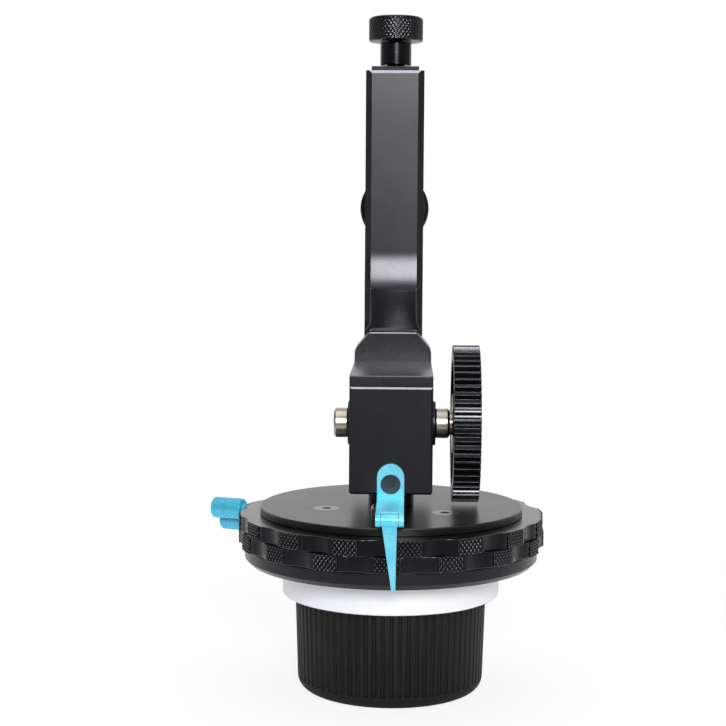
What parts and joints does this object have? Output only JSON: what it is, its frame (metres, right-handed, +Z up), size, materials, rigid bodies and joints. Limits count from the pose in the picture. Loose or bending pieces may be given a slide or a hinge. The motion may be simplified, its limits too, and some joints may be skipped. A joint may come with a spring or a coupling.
{
  "type": "follow focus unit",
  "caption": "Follow focus: ribbed handwheel with marking disc and stop rings turns a drive gear through a right-angle gearbox; an upright arm clamps to a rod.",
  "frame": {"origin": "centre of the handwheel's flat end, which the unit stands on", "axes": "+Z up the handwheel's axis towards the arm's thumbscrew, -Y to the front where the pointer is, +X towards the drive gear"},
  "size_m": [0.1047, 0.1122, 0.2114],
  "materials": {
    "ribbed_rubber": "matte black ribbed rubber",
    "white_plastic": "white, satin, written on and wiped",
    "black_anodised": "satin black anodised",
    "steel": "bright turned steel",
    "black_steel": "black oxide",
    "blue_anodised": "light blue anodised",
    "bronze": "plain bronze",
    "dark_core": "black moulded"
  },
  "bodies": {
    "frame": {"stop_hub": "black_anodised", "neck_carrier": "black_anodised", "carrier_screws": "steel", "lower_bush": "bronze", "upper_bush": "bronze", "top_plate": "black_anodised", "plate_screws": "steel", "detent_button": "steel", "gearbox_housing": "black_anodised", "left_bearing": "steel", "right_bearing": "steel", "left_bearing_flange": "black_anodised", "right_bearing_flange": "black_anodised", "pointer_bracket": "blue_anodised", "bracket_screw": "black_steel", "hinge_pin": "steel", "arm": "black_anodised", "arm_screws": "black_steel", "knob_stud": "steel", "knob_washer": "steel"},
    "handwheel": {"grip_rubber": "ribbed_rubber", "grip_core": "dark_core", "marking_disc": "white_plastic", "wheel_plate": "black_anodised", "core_screws": "steel", "wheel_shaft": "steel", "wheel_bolt": "steel", "stop_dog": "steel", "wheel_mitre_gear": "steel"},
    "drive_shaft": {"output_shaft": "steel", "shaft_mitre_gear": "steel", "drive_gear": "black_anodised", "gear_spindle": "steel", "gear_screw": "steel"},
    "upper_stop": {"upper_stop_ring": "black_anodised", "upper_stop_lug": "steel"},
    "upper_lock": {"upper_lock_screw": "blue_anodised"},
    "lower_stop": {"lower_stop_ring": "black_anodised", "lower_stop_lug": "steel"},
    "lower_lock": {"lower_lock_screw": "blue_anodised"},
    "needle": {"pointer_needle": "blue_anodised"},
    "slide": {"slide_tongue": "black_anodised", "tongue_screws": "black_steel", "clamp_slide": "black_anodised"},
    "pad": {"pressure_pad": "bronze"},
    "clamp_thumbscrew": {"clamp_screw": "black_anodised"},
    "knob": {"lock_knob": "black_anodised"}
  },
  "joints": [
    {"name": "handwheel_turn", "type": "hinge", "parent": "frame", "child": "handwheel", "pos_m": [0, 0, 0.0397], "axis": [0, 0, 1], "range_deg": [-140, 140]},
    {"name": "drive_shaft_turn", "type": "hinge", "parent": "frame", "child": "drive_shaft", "pos_m": [0, 0, 0.0821], "axis": [1, 0, 0], "range_deg": [-140, 140]},
    {"name": "upper_stop_set", "type": "hinge", "parent": "frame", "child": "upper_stop", "pos_m": [0, 0, 0.05208], "axis": [0, 0, 1], "range_deg": [0, 60]},
    {"name": "lower_stop_set", "type": "hinge", "parent": "frame", "child": "lower_stop", "pos_m": [0, 0, 0.04727], "axis": [0, 0, 1], "range_deg": [-60, 0]},
    {"name": "upper_lock_turn", "type": "hinge", "parent": "upper_stop", "child": "upper_lock", "pos_m": [-0.04755, 0.01545, 0.05208], "axis": [-0.9511, 0.309, 0], "range_deg": [0, 180]},
    {"name": "lower_lock_turn", "type": "hinge", "parent": "lower_stop", "child": "lower_lock", "pos_m": [-0.04553, 0.02065, 0.04727], "axis": [-0.9107, 0.4131, 0], "range_deg": [0, 180]},
    {"name": "needle_flip", "type": "hinge", "parent": "frame", "child": "needle", "pos_m": [0, -0.0479, 0.0606], "axis": [1, 0, 0], "range_deg": [-110, 0]},
    {"name": "clamp_extend", "type": "slide", "parent": "frame", "child": "slide", "axis": [0, 0, 1], "range_m": [0, 0.014]},
    {"name": "clamp_advance", "type": "slide", "parent": "slide", "child": "pad", "axis": [0, 0, -1], "range_m": [0, 0.0012]},
    {"name": "clamp_screw_turn", "type": "hinge", "parent": "pad", "child": "clamp_thumbscrew", "pos_m": [0, 0.05345, 0.2038], "axis": [0, 0, 1], "range_deg": [-432, 0]},
    {"name": "lock_knob_turn", "type": "hinge", "parent": "frame", "child": "knob", "pos_m": [0, 0.04545, 0.148], "axis": [0, 1, 0], "range_deg": [0, 180]}
  ],
  "couplings": [
    {"joint": "drive_shaft_turn", "follows": "handwheel_turn", "ratio": -1},
    {"joint": "clamp_advance", "follows": "clamp_screw_turn", "m_per_rad": -0.00015915}
  ]
}
